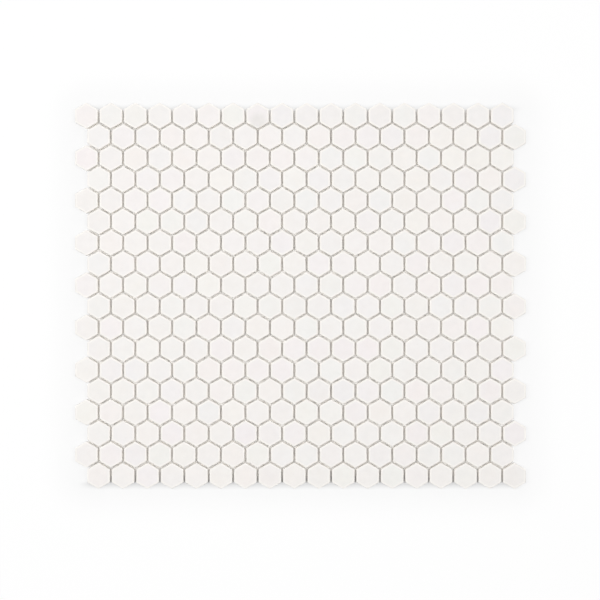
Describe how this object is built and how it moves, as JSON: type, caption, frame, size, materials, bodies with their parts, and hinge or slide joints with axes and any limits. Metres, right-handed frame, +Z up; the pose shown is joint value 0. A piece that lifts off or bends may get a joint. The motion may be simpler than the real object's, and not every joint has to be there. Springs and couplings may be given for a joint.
{
  "type": "hexagon mosaic floor tile sheet",
  "caption": "Flat sheet of small matte white hexagon floor tiles, set at even open joints in staggered rows on an open backing mesh, ready to bed in adhesive and grout.",
  "frame": {"origin": "middle of the sheet's outline, on the underside of the backing mesh, where it lies on the bed", "axes": "+X along the rows of tiles, +Y across the rows towards row 1, +Z up out of the tiles' faces"},
  "size_m": [0.3068, 0.263, 0.0044],
  "materials": {
    "tile_porcelain": "matte unglazed off-white porcelain",
    "backing_mesh": "white resin-coated glass-fibre strand"
  },
  "bodies": {
    "root": {"tile_row_01": "tile_porcelain", "tile_row_02": "tile_porcelain", "tile_row_03": "tile_porcelain", "tile_row_04": "tile_porcelain", "tile_row_05": "tile_porcelain", "tile_row_06": "tile_porcelain", "tile_row_07": "tile_porcelain", "tile_row_08": "tile_porcelain", "tile_row_09": "tile_porcelain", "tile_row_10": "tile_porcelain", "tile_row_11": "tile_porcelain", "tile_row_12": "tile_porcelain", "tile_row_13": "tile_porcelain", "tile_row_14": "tile_porcelain", "tile_row_15": "tile_porcelain", "tile_row_16": "tile_porcelain", "tile_row_17": "tile_porcelain", "tile_row_18": "tile_porcelain", "mesh_strands_along_rows": "backing_mesh", "mesh_strands_across_rows": "backing_mesh"}
  },
  "joints": []
}
